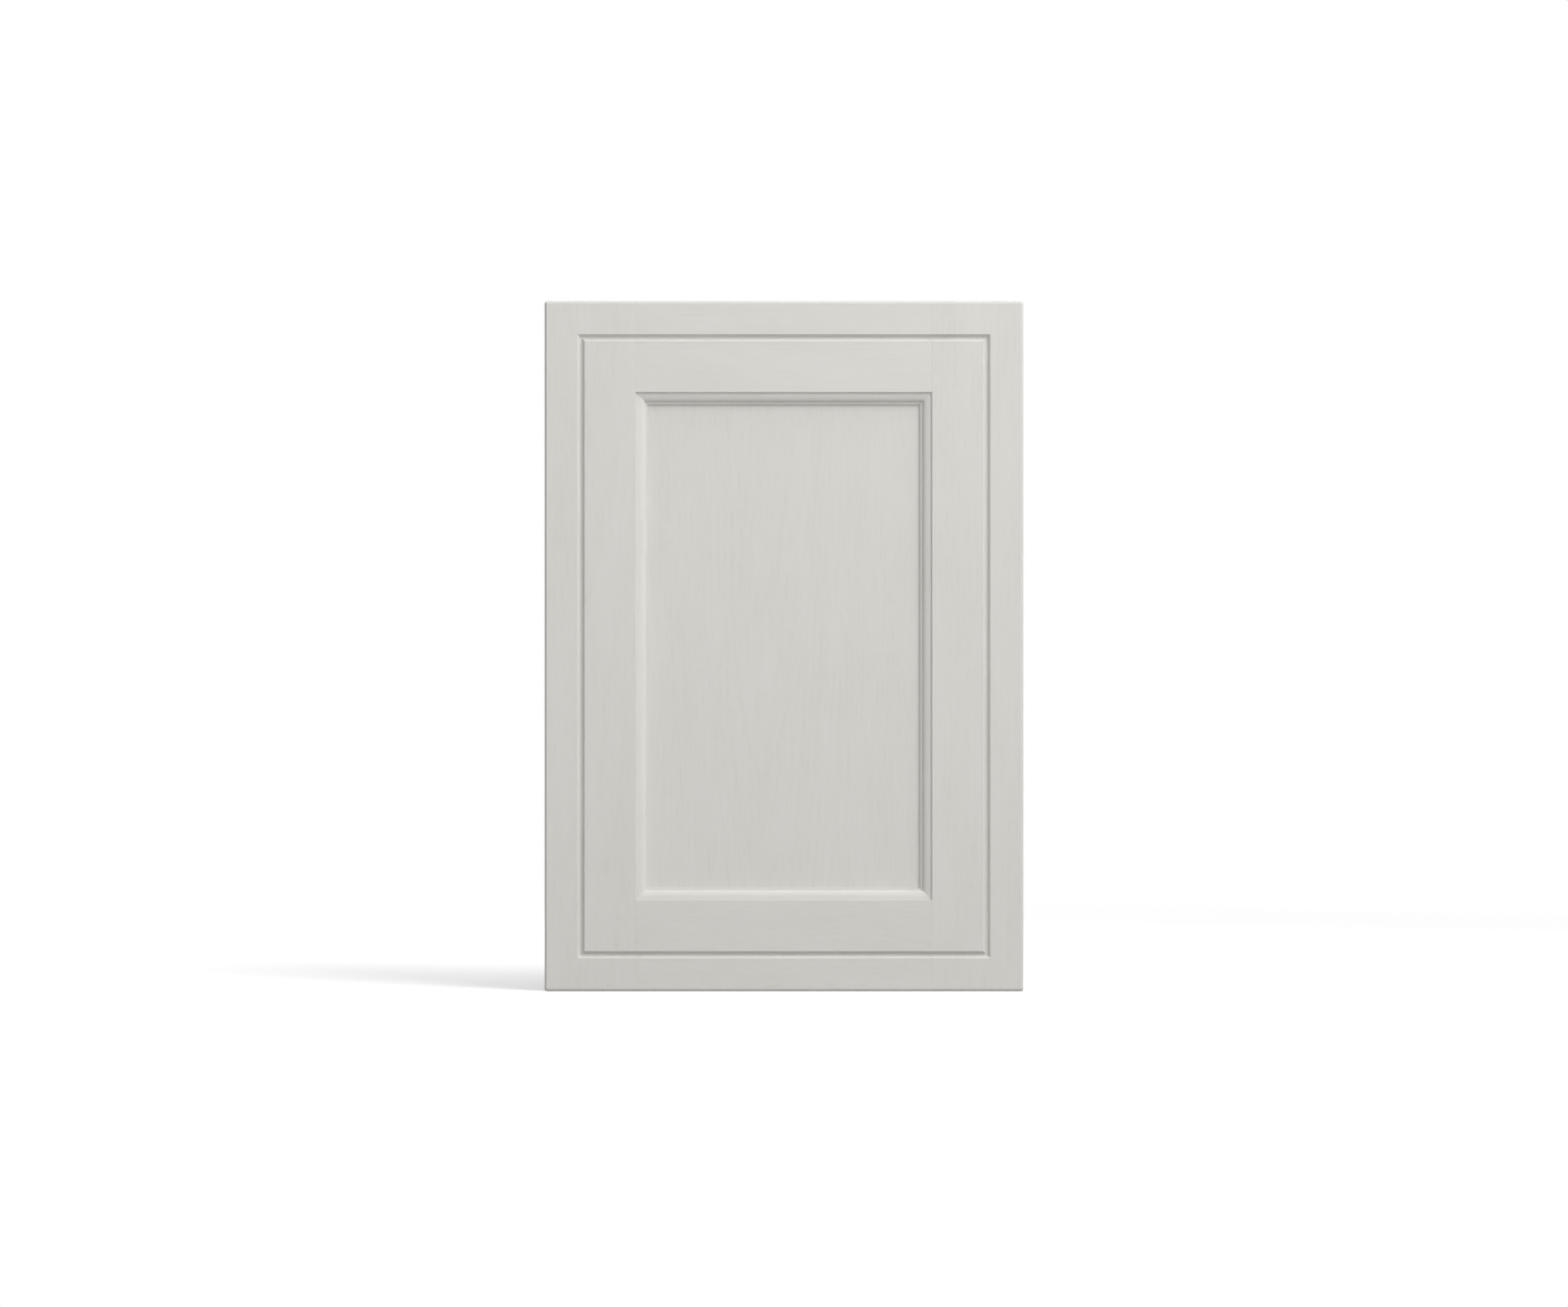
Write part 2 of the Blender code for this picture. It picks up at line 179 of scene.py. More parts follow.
DOWEL_HOLE_RADIUS = 0.0033
DOWEL_FACE = 0.0046  # half the length of the flat that is left round a dowel hole
DOWEL_BACK = 0.0137  # from the front face to a dowel's axis
DOWEL_PLACES = (0.030, 0.070)  # from the door's top or bottom edge
STILE_HOLE_DEPTH = 0.0155
dowel_lines = [place + side * DOWEL_FACE for place in DOWEL_PLACES for side in (-1, 1)]

CUP_BORE_RADIUS = 0.0175
CUP_BORE_DEPTH = 0.0125
CUP_BORE_INSET = 0.0225  # from the side edge to a bore's axis
CUP_BORE_END = 0.100  # from the top or bottom edge to a bore's axis
CUP_BORE_EASE = 0.0003
CUP_BIT_POINT_RADIUS = 0.0016
CUP_BIT_POINT_DEPTH = 0.001
CUP_FACE = 0.0195  # half the side of the square flat that is left round a bore
BORE_SIDES = 96
HOLE_SIDES = 32
SHARP_FOLD = math.radians(25)  # a fold that is steeper than this is shaded as an arris


def lines(*groups):
    """The sorted places of all the lines, each once."""
    return np.unique(np.round(np.concatenate([np.asarray(group) for group in groups]), 8))


across_member = lines(
    edge_lines, groove_lines, eased_guard_lines, dowel_lines, back_arris_lines, moulding_across,
    [CUP_BORE_INSET - CUP_FACE, CUP_BORE_INSET + CUP_FACE],
)


def line_at(places, where):
    """The number of the line at this place."""
    return int(np.argmin(np.abs(places - where)))


def front_depth(across, nearest_edge):
    """Depth of the front surface: the deepest of the moulding, the chamfered edge and the V groove."""
    moulding = np.interp(across, moulding_across, moulding_back, left=0.0)
    worked = np.maximum(chamfered_edge(nearest_edge), v_groove(nearest_edge))
    return np.maximum(moulding, worked)


def back_depth(nearest_edge, from_opening):
    """Depth of the back surface: the thickness less the deeper of the outer round and the opening's arris."""
    arris = rounded_edge(from_opening, BACK_ARRIS_RADIUS)
    return DOOR_THICKNESS - np.maximum(rounded_edge(nearest_edge, BACK_EDGE_RADIUS), arris)


def bend_corner(across, along):
    """Rounds the door's corner, seen from the front.

    Points at the same distance from the nearer edge lie on one square ring. The ring's two legs are bent into
    a quarter circle whose radius is the corner's radius less that distance. The share of the leg's length at
    which a point lies becomes the share of 45 degrees by which it is turned from the corner's middle.
    """
    ring = np.minimum(across, along)
    radius = np.maximum(CORNER_RADIUS - ring, 0)
    turned = math.pi / 4 * (1 - (along - across) / np.maximum(radius, 1e-9))
    near = (across < CORNER_RADIUS) & (along < CORNER_RADIUS)
    bent_across = np.where(near, CORNER_RADIUS - radius * np.cos(turned), across)
    bent_along = np.where(near, CORNER_RADIUS - radius * np.sin(turned), along)
    return bent_across, bent_along


def member_cells(across_count, row_count, along_count, lip_start, groove_rows):
    """Which cells of a member's block are timber: all but those of the panel's groove."""
    wood = np.ones((across_count - 1, row_count - 1, along_count - 1), bool)
    wood[lip_start:, groove_rows[0]:groove_rows[1], :] = False
    return wood


def skin(points, wood, openings):
    """The surface of a block of cells as triangles.

    points[i, j, k] are the corners of the cells and wood[i, j, k] tells which are timber. A face is on the
    surface where timber meets none. It is split along its longer diagonal, which is where a mitre folds. The
    faces of an opening (axis, plane, first range, second range) are left out.
    """
    numbers = np.arange(points[..., 0].size).reshape(points.shape[:3])
    padded = np.pad(wood, 1)
    quads = []
    for axis in range(3):
        cells = np.moveaxis(padded, axis, 0)
        corners = np.moveaxis(numbers, axis, 0)
        shown = cells[1:, 1:-1, 1:-1] != cells[:-1, 1:-1, 1:-1]
        for opened_axis, plane, first, second in openings:
            if opened_axis == axis:
                shown[plane, slice(*first), slice(*second)] = False
        around = [corners[:, :-1, :-1], corners[:, 1:, :-1], corners[:, 1:, 1:], corners[:, :-1, 1:]]
        quads.append(np.stack(around, -1)[shown])
    quads = np.concatenate(quads)
    a, b, c, d = np.moveaxis(points.reshape(-1, 3)[quads], 1, 0)
    first_longer = np.linalg.norm(a - c, axis=1) >= np.linalg.norm(b - d, axis=1)
    return np.concatenate([
        quads[first_longer][:, [0, 1, 2]], quads[first_longer][:, [0, 2, 3]],
        quads[~first_longer][:, [0, 1, 3]], quads[~first_longer][:, [1, 2, 3]],
    ])


def opening_edge(points, opening):
    """The numbers of the points round an opening, in order."""
    axis, plane, first, second = opening
    numbers = np.moveaxis(np.arange(points[..., 0].size).reshape(points.shape[:3]), axis, 0)[plane]
    block = numbers[first[0]:first[1] + 1, second[0]:second[1] + 1]
    return np.concatenate([block[:-1, 0], block[-1, :-1], block[:0:-1, -1], block[0, :0:-1]])


def drill(points, triangles, edge, centre, into, radii, depths, sides):
    """Adds a round hole inside an opening of the skin.

    The hole is a profile of radii and depths turned about its axis. The flat between the opening's edge and
    the rim is filled in the order of the points' angles: each step along one is joined to the last point that
    was passed on the other.
    """
    into = np.asarray(into, float)
    right = np.roll(into, 1)
    up = np.cross(into, right)
    turns = np.linspace(0, 2 * math.pi, sides, endpoint=False)
    circle = np.outer(np.cos(turns), right) + np.outer(np.sin(turns), up)
    rings = centre + np.asarray(radii)[:, None, None] * circle + np.asarray(depths)[:, None, None] * into
    rim = len(points) + np.arange(len(radii) * sides).reshape(len(radii), sides)

    offset = points[edge] - centre
    edge_turns = np.arctan2(offset @ up, offset @ right) % (2 * math.pi)
    order = np.argsort(edge_turns)
    edge, edge_turns = edge[order], edge_turns[order]
    passed_rim = np.searchsorted(turns, np.roll(edge_turns, -1), side="right") - 1
    passed_edge = np.searchsorted(edge_turns, np.roll(turns, -1), side="left") - 1
    flat_from_edge = np.stack([edge, np.roll(edge, -1), rim[0][passed_rim]], 1)
    flat_from_rim = np.stack([rim[0], np.roll(rim[0], -1), edge[passed_edge]], 1)

    beside = np.roll(rim, -1, axis=1)
    wall_one = np.stack([rim[:-1], beside[:-1], beside[1:]], -1).reshape(-1, 3)
    wall_two = np.stack([rim[:-1], beside[1:], rim[1:]], -1).reshape(-1, 3)
    hole = np.concatenate([wall_one, wall_two])
    points = np.concatenate([points, rings.reshape(-1, 3)])
    return points, np.concatenate([triangles, flat_from_edge, flat_from_rim, hole]), len(hole)


def solid_mesh(name, points, triangles, bare_count=0):
    """A closed mesh of the triangles, the last bare_count of them in the piece's second material.

    Points that meet are made one, and triangles that closed up are dropped.
    """
    places, place_of = np.unique(np.round(points, 7), axis=0, return_inverse=True)
    triangles = place_of.reshape(-1)[triangles]
    bare = np.arange(len(triangles)) >= len(triangles) - bare_count
    a, b, c = triangles.T
    whole = (a != b) & (b != c) & (c != a)
    mesh = bpy.data.meshes.new(name)
    mesh.from_pydata(places.tolist(), [], triangles[whole].tolist())
    mesh.polygons.foreach_set("material_index", bare[whole].astype(np.int32))
    shape = bmesh.new()
    shape.from_mesh(mesh)
    bmesh.ops.recalc_face_normals(shape, faces=shape.faces)
    shape.to_mesh(mesh)
    shape.free()
    mesh.shade_smooth()
    mesh.set_sharp_from_angle(angle=SHARP_FOLD)
    made = bpy.data.objects.new(name, mesh)
    bpy.context.scene.collection.objects.link(made)
    return made


def worked_piece(name, points, wood, openings, holes):
    """The skin of the block with its holes drilled. The walls of the holes are bare timber."""
    triangles = skin(points, wood, openings)
    edges = [opening_edge(points, opening) for opening in openings]
    flat = points.reshape(-1, 3)
    painted, bare = [triangles], []
    for edge, (centre, into, radii, depths, sides) in zip(edges, holes):
        flat, added, bare_count = drill(
            flat, np.empty((0, 3), int), edge, np.array(centre), into, radii, depths, sides
        )
        painted.append(added[:-bare_count])
        bare.append(added[-bare_count:])
    bare_count = sum(len(group) for group in bare)
    return solid_mesh(name, flat, np.concatenate([*painted, *bare]), bare_count)


PLAIN_STILE_START = 0.14  # past all that is worked near the stile's end
LINE_STEP = 0.02
up_stile_end = lines(
    edge_lines, groove_lines, dowel_lines, back_arris_lines,
    [CUP_BORE_END - CUP_FACE, CUP_BORE_END + CUP_FACE],
    np.arange(PLAIN_STILE_START, DOOR_HEIGHT / 2, LINE_STEP),
)
up_stile = np.concatenate([up_stile_end, DOOR_HEIGHT - up_stile_end[::-1]])


def stile(name, side):
    """A stile's points and skin. Across the member, back from the face, and up are the block's three ways."""
    across, along = np.meshgrid(across_member, up_stile, indexing="ij")
    from_end = np.minimum(along, DOOR_HEIGHT - along)
    nearest_edge = np.minimum(across, from_end)
    from_opening = np.maximum(SIGHT_LINE - across, SIGHT_LINE - from_end)
    front = front_depth(across, nearest_edge)
    back = back_depth(nearest_edge, from_opening)
    groove_front = np.full_like(front, PANEL_GROOVE_FRONT)
    groove_back = np.full_like(front, PANEL_GROOVE_BACK)
    depth = np.stack([front, groove_front, groove_back, back], 1)
    bent_across, bent_end = bend_corner(across, from_end)
    height = np.where(along < DOOR_HEIGHT / 2, bent_end, DOOR_HEIGHT - bent_end)
    x = side * (DOOR_WIDTH / 2 - bent_across)
    points = np.stack([
        np.broadcast_to(x[:, None], depth.shape),
        depth - DOOR_THICKNESS / 2,
        np.broadcast_to(height[:, None], depth.shape),
    ], -1)

    lip_start = line_at(across_member, PANEL_GROOVE_BOTTOM)
    wood = member_cells(*points.shape[:3], lip_start, (1, 2))
    openings, holes = [], []
    for place in (*DOWEL_PLACES, *(DOOR_HEIGHT - np.array(DOWEL_PLACES))):
        span = (line_at(up_stile, place - DOWEL_FACE), line_at(up_stile, place + DOWEL_FACE))
        openings.append((0, lip_start, (1, 2), span))
        centre = (side * (DOOR_WIDTH / 2 - PANEL_GROOVE_BOTTOM), DOWEL_BACK - DOOR_THICKNESS / 2, place)
        radii = [DOWEL_HOLE_RADIUS, DOWEL_HOLE_RADIUS, 0]
        holes.append((centre, (side, 0, 0), radii, [0, STILE_HOLE_DEPTH, STILE_HOLE_DEPTH], HOLE_SIDES))
    if side < 0:
        breadth = tuple(line_at(across_member, CUP_BORE_INSET + half * CUP_FACE) for half in (-1, 1))
        for place in (CUP_BORE_END, DOOR_HEIGHT - CUP_BORE_END):
            span = (line_at(up_stile, place - CUP_FACE), line_at(up_stile, place + CUP_FACE))
            openings.append((1, 3, breadth, span))
            centre = (side * (DOOR_WIDTH / 2 - CUP_BORE_INSET), DOOR_THICKNESS / 2, place)
            rim = CUP_BORE_RADIUS + CUP_BORE_EASE
            radii = [rim, CUP_BORE_RADIUS, CUP_BORE_RADIUS, CUP_BIT_POINT_RADIUS, 0]
            bit_point = CUP_BORE_DEPTH + CUP_BIT_POINT_DEPTH
            depths = [0, CUP_BORE_EASE, CUP_BORE_DEPTH, CUP_BORE_DEPTH, bit_point]
            holes.append((centre, (0, -1, 0), radii, depths, BORE_SIDES))
    return worked_piece(name, points, wood, openings, holes)


PAINT = (0.606, 0.598, 0.568)
PAINT_IN_PORES = (0.575, 0.567, 0.535)
PAINT_ROUGHNESS = 0.58
PAINT_GLOSS = 0.2
PAINTED_RELIEF = 0.00001  # how far the grain sinks the paint, in metres
BARE_ASH = (0.640, 0.490, 0.330)
ASH_PORES = (0.400, 0.270, 0.150)
BARE_ROUGHNESS = 0.70
BARE_RELIEF = 0.00006
BARE_GRAIN = ((-0.17, 0.03, 0.0), (1.0, 1.5, 0.0), 0.0028)

RING_BENDS = (18.0, 18.0, 5.0)  # waves in a metre, across the grain and along it
RING_BEND = (0.010, 0.010, 0.0)
EARLY_WOOD = 0.6  # the share of a year's ring over which the pores thin out
LATE_WOOD_PORES = 0.3
PORES = ((0.0008, 0.010, 0.53, 0.55), (0.0022, 0.020, 0.50, 2.1))  # width, length, noise at the rim, depth
PORE_FLOOR = 0.66  # the noise at which a pore is at its deepest
STREAK_WIDTH = 0.004
STREAK_LENGTH = 0.060
STREAK_DEPTH = 1.2
CLOUD_WIDTH = 0.030
CLOUD_LENGTH = 0.120
CLOUD_DEPTH = 1.4
EARLY_WOOD_DEPTH = 0.15
LIGHTEST = 0.95
DARKEST = 2.5
DULLING = 0.05  # what the deepest grain adds to the roughness


def add_node(tree, kind, inputs, **settings):
    """A new node with these settings. An input is a number, a vector or another node's socket."""
    node = tree.nodes.new(kind)
    for setting, value in settings.items():
        setattr(node, setting, value)
    for socket, value in inputs.items():
        if isinstance(value, bpy.types.NodeSocket):
            tree.links.new(value, node.inputs[socket])
        else:
            node.inputs[socket].default_value = value
    return node


def grain_noise(tree, grain, width, length, detail):
    """Noise drawn out along the grain, in marks about this wide and this long."""
    drawn_out = add_node(
        tree, "ShaderNodeMapping", {"Vector": grain, "Scale": (1 / width, 1 / width, 1 / length)}
    )
    noise = add_node(
        tree, "ShaderNodeTexNoise", {"Vector": drawn_out.outputs[0], "Scale": 1.0, "Detail": detail}
    )
    return noise.outputs["Fac"]


def growth_rings(tree, grain, heart, lean, ring_width):
    """0 to 1 across each year's ring, by the distance from the tree's heart, a line that leans in the board.

    Slow noise bends the rings by a few millimetres. The wave texture turns through 20 radians in one unit of
    its scale, so its scale is a tenth of pi over the ring's width.
    """
    slow = add_node(tree, "ShaderNodeMapping", {"Vector": grain, "Scale": RING_BENDS})
    bend = add_node(tree, "ShaderNodeTexNoise", {"Vector": slow.outputs[0], "Scale": 1.0, "Detail": 1.0})
    bent = add_node(
        tree, "ShaderNodeVectorMath",
        {0: bend.outputs["Color"], 1: RING_BEND, 2: grain}, operation="MULTIPLY_ADD",
    )
    turned = [math.radians(angle) for angle in lean]
    from_heart = add_node(
        tree, "ShaderNodeMapping",
        {"Vector": bent.outputs[0], "Location": heart, "Rotation": turned}, vector_type="TEXTURE",
    )
    rings = add_node(
        tree, "ShaderNodeTexWave", {"Vector": from_heart.outputs[0], "Scale": math.pi / 10 / ring_width},
        wave_type="RINGS", rings_direction="Z", wave_profile="SAW",
    )
    return rings.outputs["Fac"]


def open_grain(name, surface, in_pores, roughness, relief, turned, heart, lean, ring_width):
    """Ash, painted or bare: pores, streaks and growth rings that sink in the surface and darken it.

    The pores are the peaks of fine noise, thickest where a year's ring begins. The streaks are coarser noise,
    and a broad cloudiness shifts the tone. The colour lies between the surface's and the pores' by the sum of
    all these, and the height falls by it.
    """
    material = bpy.data.materials.new(name)
    material.use_nodes = True
    tree = material.node_tree
    shader = tree.nodes["Principled BSDF"]
    place = tree.nodes.new("ShaderNodeTexCoord")
    grain = add_node(
        tree, "ShaderNodeMapping",
        {"Vector": place.outputs["Object"], "Rotation": (0.0, math.radians(90 if turned else 0), 0.0)},
        vector_type="TEXTURE",
    ).outputs[0]
    rings = growth_rings(tree, grain, heart, lean, ring_width)
    early = add_node(
        tree, "ShaderNodeMapRange",
        {"Value": rings, "From Max": EARLY_WOOD, "To Min": 1.0, "To Max": LATE_WOOD_PORES},
    ).outputs[0]
    clouds = grain_noise(tree, grain, CLOUD_WIDTH, CLOUD_LENGTH, 1.0)
    thick = add_node(tree, "ShaderNodeMath", {0: clouds, 1: early}, operation="MULTIPLY").outputs[0]
    pores = []
    for width, length, rim, depth in PORES:
        peaks = add_node(
            tree, "ShaderNodeMapRange",
            {"Value": grain_noise(tree, grain, width, length, 1.0),
             "From Min": rim, "From Max": PORE_FLOOR, "To Max": depth},
            interpolation_type="SMOOTHSTEP",
        ).outputs[0]
        pores.append(add_node(tree, "ShaderNodeMath", {0: peaks, 1: thick}, operation="MULTIPLY").outputs[0])
    sunk = add_node(tree, "ShaderNodeMath", {0: pores[0], 1: pores[1]}, operation="ADD").outputs[0]
    streaks = grain_noise(tree, grain, STREAK_WIDTH, STREAK_LENGTH, 2.0)
    for share, depth in ((streaks, STREAK_DEPTH), (early, EARLY_WOOD_DEPTH)):
        sunk = add_node(
            tree, "ShaderNodeMath", {0: share, 1: depth, 2: sunk}, operation="MULTIPLY_ADD"
        ).outputs[0]
    cloudy = add_node(
        tree, "ShaderNodeMath", {0: clouds, 1: CLOUD_DEPTH, 2: sunk}, operation="MULTIPLY_ADD"
    ).outputs[0]
    shade = add_node(
        tree, "ShaderNodeMapRange", {"Value": cloudy, "From Min": LIGHTEST, "From Max": DARKEST}
    ).outputs[0]
    colour = add_node(tree, "ShaderNodeMix", {"Factor": shade}, data_type="RGBA")
    colour.inputs["A"].default_value = (*surface, 1)
    colour.inputs["B"].default_value = (*in_pores, 1)
    duller = add_node(tree, "ShaderNodeMath", {0: sunk, 1: DULLING, 2: roughness}, operation="MULTIPLY_ADD")
    shader.inputs["Specular IOR Level"].default_value = PAINT_GLOSS
    bump = add_node(
        tree, "ShaderNodeBump", {"Height": sunk, "Distance": relief, "Strength": 1.0}, invert=True
    )
    tree.links.new(colour.outputs["Result"], shader.inputs["Base Color"])
    tree.links.new(duller.outputs[0], shader.inputs["Roughness"])
    tree.links.new(bump.outputs[0], shader.inputs["Normal"])
    return material


bare_ash = open_grain(
    "bare_ash", BARE_ASH, ASH_PORES, BARE_ROUGHNESS, BARE_RELIEF, False, *BARE_GRAIN
)
# Where the tree's heart lies behind the face, its lean in degrees, which draws the rings out into arches,
# and the width of a year's ring
stile_grain = {
    "left_stile": ((-0.188, 0.050, 0.0), (1.3, 0.6, 0.0), 0.0044),
    "right_stile": ((0.270, 0.030, 0.0), (0.5, 0.9, 0.0), 0.0060),
}
for name, side in (("left_stile", -1), ("right_stile", 1)):
    piece = stile(name + "_painted", side)
    piece.data.materials.append(open_grain(
        name + "_paint", PAINT, PAINT_IN_PORES, PAINT_ROUGHNESS, PAINTED_RELIEF, False, *stile_grain[name]
    ))
    piece.data.materials.append(bare_ash)
    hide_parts(name)
    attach(piece, "root")


# The two rails: the cross members, between the stiles, of the same timber with its grain running across.
# Each end is scribed over the stile's moulding, and has a tongue that fills the stile's panel groove and
# takes the dowels.

GLUE_LINE = 0.00002
TONGUE_PLAY = 0.0003
TONGUE_END = PANEL_GROOVE_BOTTOM + TONGUE_PLAY
RAIL_HOLE_END = 0.1212  # from the door's side to the bottom of the rail's dowel holes
PLAIN_RAIL_START = 0.12
rows = lines([0], worked_back, [PANEL_GROOVE_FRONT, PANEL_GROOVE_BACK, DOOR_THICKNESS])
scribe_rows = line_at(rows, FILLET_DEPTH)
from_stile_edge = np.append(SIGHT_LINE, np.arange(PLAIN_RAIL_START, DOOR_WIDTH / 2, LINE_STEP))


def scribed_end(depth):
    """Where the rail ends at a depth, in from the door's side: against the stile's moulding.

    The end is the stile's outline at that depth plus the glue line. Above the moulding the stile's edge is
    eased away, and the rail's is eased by as much on its own side, so that the two make a fine V.
    """
    stile_surface = np.interp(depth, worked_back, worked_across)
    return FACE_WIDTH + np.abs(stile_surface - FACE_WIDTH) + GLUE_LINE


def rail(name, side):
    """A rail's points and skin. Across it, back from the face, and along it are the block's three ways."""
    front = front_depth(across_member, across_member)[:, None]
    back = back_depth(across_member, SIGHT_LINE - across_member)[:, None]
    depth = np.clip(rows[None, :], front, back)
    end = scribed_end(depth)
    end[:, scribe_rows + 1:] = TONGUE_END
    beside_end = np.minimum(end + GUARD, SIGHT_LINE)
    from_side = np.concatenate([
        end[..., None], beside_end[..., None],
        np.broadcast_to(from_stile_edge, (*end.shape, len(from_stile_edge))),
    ], -1)
    x = np.concatenate([from_side - DOOR_WIDTH / 2, DOOR_WIDTH / 2 - from_side[..., ::-1]], -1)
    z = across_member if side < 0 else DOOR_HEIGHT - across_member
    points = np.stack([
        x,
        np.broadcast_to(depth[..., None] - DOOR_THICKNESS / 2, x.shape),
        np.broadcast_to(z[:, None, None], x.shape),
    ], -1)

    lip_start = line_at(across_member, PANEL_GROOVE_BOTTOM)
    flat_start = line_at(across_member, fillet_start)
    groove_rows = (line_at(rows, PANEL_GROOVE_FRONT), line_at(rows, PANEL_GROOVE_BACK))
    wood = member_cells(*points.shape[:3], lip_start, groove_rows)
    for end_cell in (0, 1, -2, -1):
        wood[:, scribe_rows:groove_rows[0], end_cell] = False
        wood[:, groove_rows[1]:, end_cell] = False
        wood[flat_start:, :, end_cell] = False
    openings, holes = [], []
    hole_depth = RAIL_HOLE_END - TONGUE_END
    for end_side, plane in ((-1, 0), (1, points.shape[2] - 1)):
        for place in DOWEL_PLACES:
            span = tuple(line_at(across_member, place + half * DOWEL_FACE) for half in (-1, 1))
            openings.append((2, plane, span, groove_rows))
            height = place if side < 0 else DOOR_HEIGHT - place
            centre = (end_side * (DOOR_WIDTH / 2 - TONGUE_END), DOWEL_BACK - DOOR_THICKNESS / 2, height)
            radii = [DOWEL_HOLE_RADIUS, DOWEL_HOLE_RADIUS, 0]
            holes.append((centre, (-end_side, 0, 0), radii, [0, hole_depth, hole_depth], HOLE_SIDES))
    return worked_piece(name, points, wood, openings, holes)


rail_grain = {
    "bottom_rail": ((0.0, 0.050, 0.0), (-8.0, 0.0, 0.0), 0.0044),
    "top_rail": ((-0.730, 0.030, 0.0), (0.6, 0.8, 0.0), 0.0046),
}
for name, side in (("bottom_rail", -1), ("top_rail", 1)):
    piece = rail(name + "_painted", side)
    piece.data.materials.append(open_grain(
        name + "_paint", PAINT, PAINT_IN_PORES, PAINT_ROUGHNESS, PAINTED_RELIEF, True, *rail_grain[name]
    ))
    piece.data.materials.append(bare_ash)
    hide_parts(name)
    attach(piece, "root")


# The panel: a flat veneered board, 9 mm thick, with its grain upright. It isn't glued but held loose in the
# groove all round, and it is painted with the frame.

PANEL_EDGE_RADIUS = 0.0006
PANEL_MARGIN = 0.02  # from the panel's edge to the first line of points on its flat
PANEL_GRAIN = ((-0.015, 0.060, 0.36), (2.6, 0.5, 0.0), 0.0048)
panel_low, panel_high = (np.array(corner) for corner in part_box("centre_panel"))


def panel(name):
    """A board with eased edges: a block of cells whose depth follows the distance to the nearest edge."""
    eased = PANEL_EDGE_RADIUS * (1 - np.cos(degrees(0, 90, 5)))
    near = np.append(eased, PANEL_EDGE_RADIUS + GUARD)
    width, thickness, height = panel_high - panel_low
    across_flat = np.linspace(PANEL_MARGIN, width - PANEL_MARGIN, 15)
    up_flat = np.linspace(PANEL_MARGIN, height - PANEL_MARGIN, 25)
    across = np.concatenate([near, across_flat, width - near[::-1]])
    along = np.concatenate([near, up_flat, height - near[::-1]])
    across, along = np.meshgrid(across, along, indexing="ij")
    nearest_edge = np.minimum(np.minimum(across, width - across), np.minimum(along, height - along))
    lost = rounded_edge(nearest_edge, PANEL_EDGE_RADIUS)
    depth = np.stack([lost, thickness - lost], 1)
    points = np.stack([
        np.broadcast_to(across[:, None] + panel_low[0], depth.shape),
        depth + panel_low[1],
        np.broadcast_to(along[:, None] + panel_low[2], depth.shape),
    ], -1)
    wood = np.ones(tuple(size - 1 for size in points.shape[:3]), bool)
    return solid_mesh(name, points.reshape(-1, 3), skin(points, wood, []))


piece = panel("centre_panel_painted")
piece.data.materials.append(open_grain(
    "centre_panel_paint", PAINT, PAINT_IN_PORES, PAINT_ROUGHNESS, PAINTED_RELIEF, False, *PANEL_GRAIN
))
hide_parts("centre_panel")
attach(piece, "root")


# The dowels: eight fluted beech pins, glued two to each corner joint and hidden in it. Their CAD shapes are
# right and stay. Beech is a close-grained pinkish timber with short brown flecks along the grain.

BEECH = (0.640, 0.430, 0.290)
BEECH_FLECKS = (0.420, 0.250, 0.150)
BEECH_ROUGHNESS = 0.62
BEECH_RELIEF = 0.00003
FLECK_WIDTH = 0.0003
FLECK_LENGTH = 0.0025
FLECK_NOISE = (0.58, 0.66)  # where a fleck starts and where it is darkest
FLECK_DULLING = 0.1
BEECH_CLOUD_WIDTH = 0.002
BEECH_CLOUD_LENGTH = 0.020
BEECH_CLOUD_DEPTH = 0.4


def beech_pin(name):
    """Flecks are the peaks of fine noise drawn out along the pin, and slower noise clouds the tone."""
    material = bpy.data.materials.new(name)
    material.use_nodes = True
    tree = material.node_tree
    shader = tree.nodes["Principled BSDF"]
    place = tree.nodes.new("ShaderNodeTexCoord")
    grain = add_node(
        tree, "ShaderNodeMapping",
        {"Vector": place.outputs["Object"], "Rotation": (0.0, math.radians(90), 0.0)},
        vector_type="TEXTURE",
    ).outputs[0]
    flecks = add_node(
        tree, "ShaderNodeMapRange",
        {"Value": grain_noise(tree, grain, FLECK_WIDTH, FLECK_LENGTH, 1.0),
         "From Min": FLECK_NOISE[0], "From Max": FLECK_NOISE[1]},
        interpolation_type="SMOOTHSTEP",
    ).outputs[0]
    clouds = grain_noise(tree, grain, BEECH_CLOUD_WIDTH, BEECH_CLOUD_LENGTH, 2.0)
    shade = add_node(
        tree, "ShaderNodeMath", {0: clouds, 1: BEECH_CLOUD_DEPTH, 2: flecks}, operation="MULTIPLY_ADD"
    )
    colour = add_node(tree, "ShaderNodeMix", {"Factor": shade.outputs[0]}, data_type="RGBA")
    colour.inputs["A"].default_value = (*BEECH, 1)
    colour.inputs["B"].default_value = (*BEECH_FLECKS, 1)
    duller = add_node(
        tree, "ShaderNodeMath", {0: flecks, 1: FLECK_DULLING, 2: BEECH_ROUGHNESS}, operation="MULTIPLY_ADD"
    )
    bump = add_node(
        tree, "ShaderNodeBump",
        {"Height": shade.outputs[0], "Distance": BEECH_RELIEF, "Strength": 1.0}, invert=True,
    )
    tree.links.new(colour.outputs["Result"], shader.inputs["Base Color"])
    tree.links.new(duller.outputs[0], shader.inputs["Roughness"])
    tree.links.new(bump.outputs[0], shader.inputs["Normal"])
    return material


beech = beech_pin("beech")
for name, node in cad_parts.items():
    if "dowel" in name:
        node.data.materials.clear()
        node.data.materials.append(beech)


